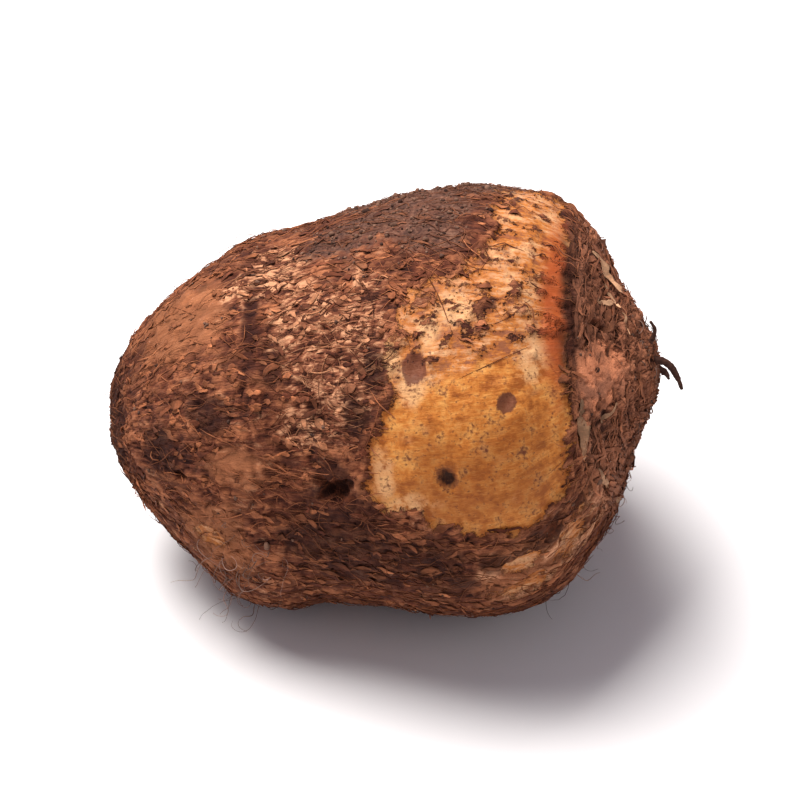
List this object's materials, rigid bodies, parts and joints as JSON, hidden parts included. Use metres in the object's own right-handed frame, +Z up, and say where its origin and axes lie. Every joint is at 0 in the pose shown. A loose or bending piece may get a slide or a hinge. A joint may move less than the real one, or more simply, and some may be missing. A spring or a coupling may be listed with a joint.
{
  "type": "taro root",
  "caption": "Small taro corm lying on its side: rough brown skin with a bare tan patch, a pointed root end, and a crown nub with dried rootlets.",
  "frame": {"origin": "on the surface it lies on, under the middle of its bounding box", "axes": "+X along the corm towards its crown, +Z up, +Y completes the right-handed frame"},
  "size_m": [0.074, 0.0556, 0.0546],
  "materials": {
    "taro_skin": "dry, matte, fibrous bark-like skin"
  },
  "bodies": {
    "root": {"taro_corm": "taro_skin"}
  },
  "joints": []
}
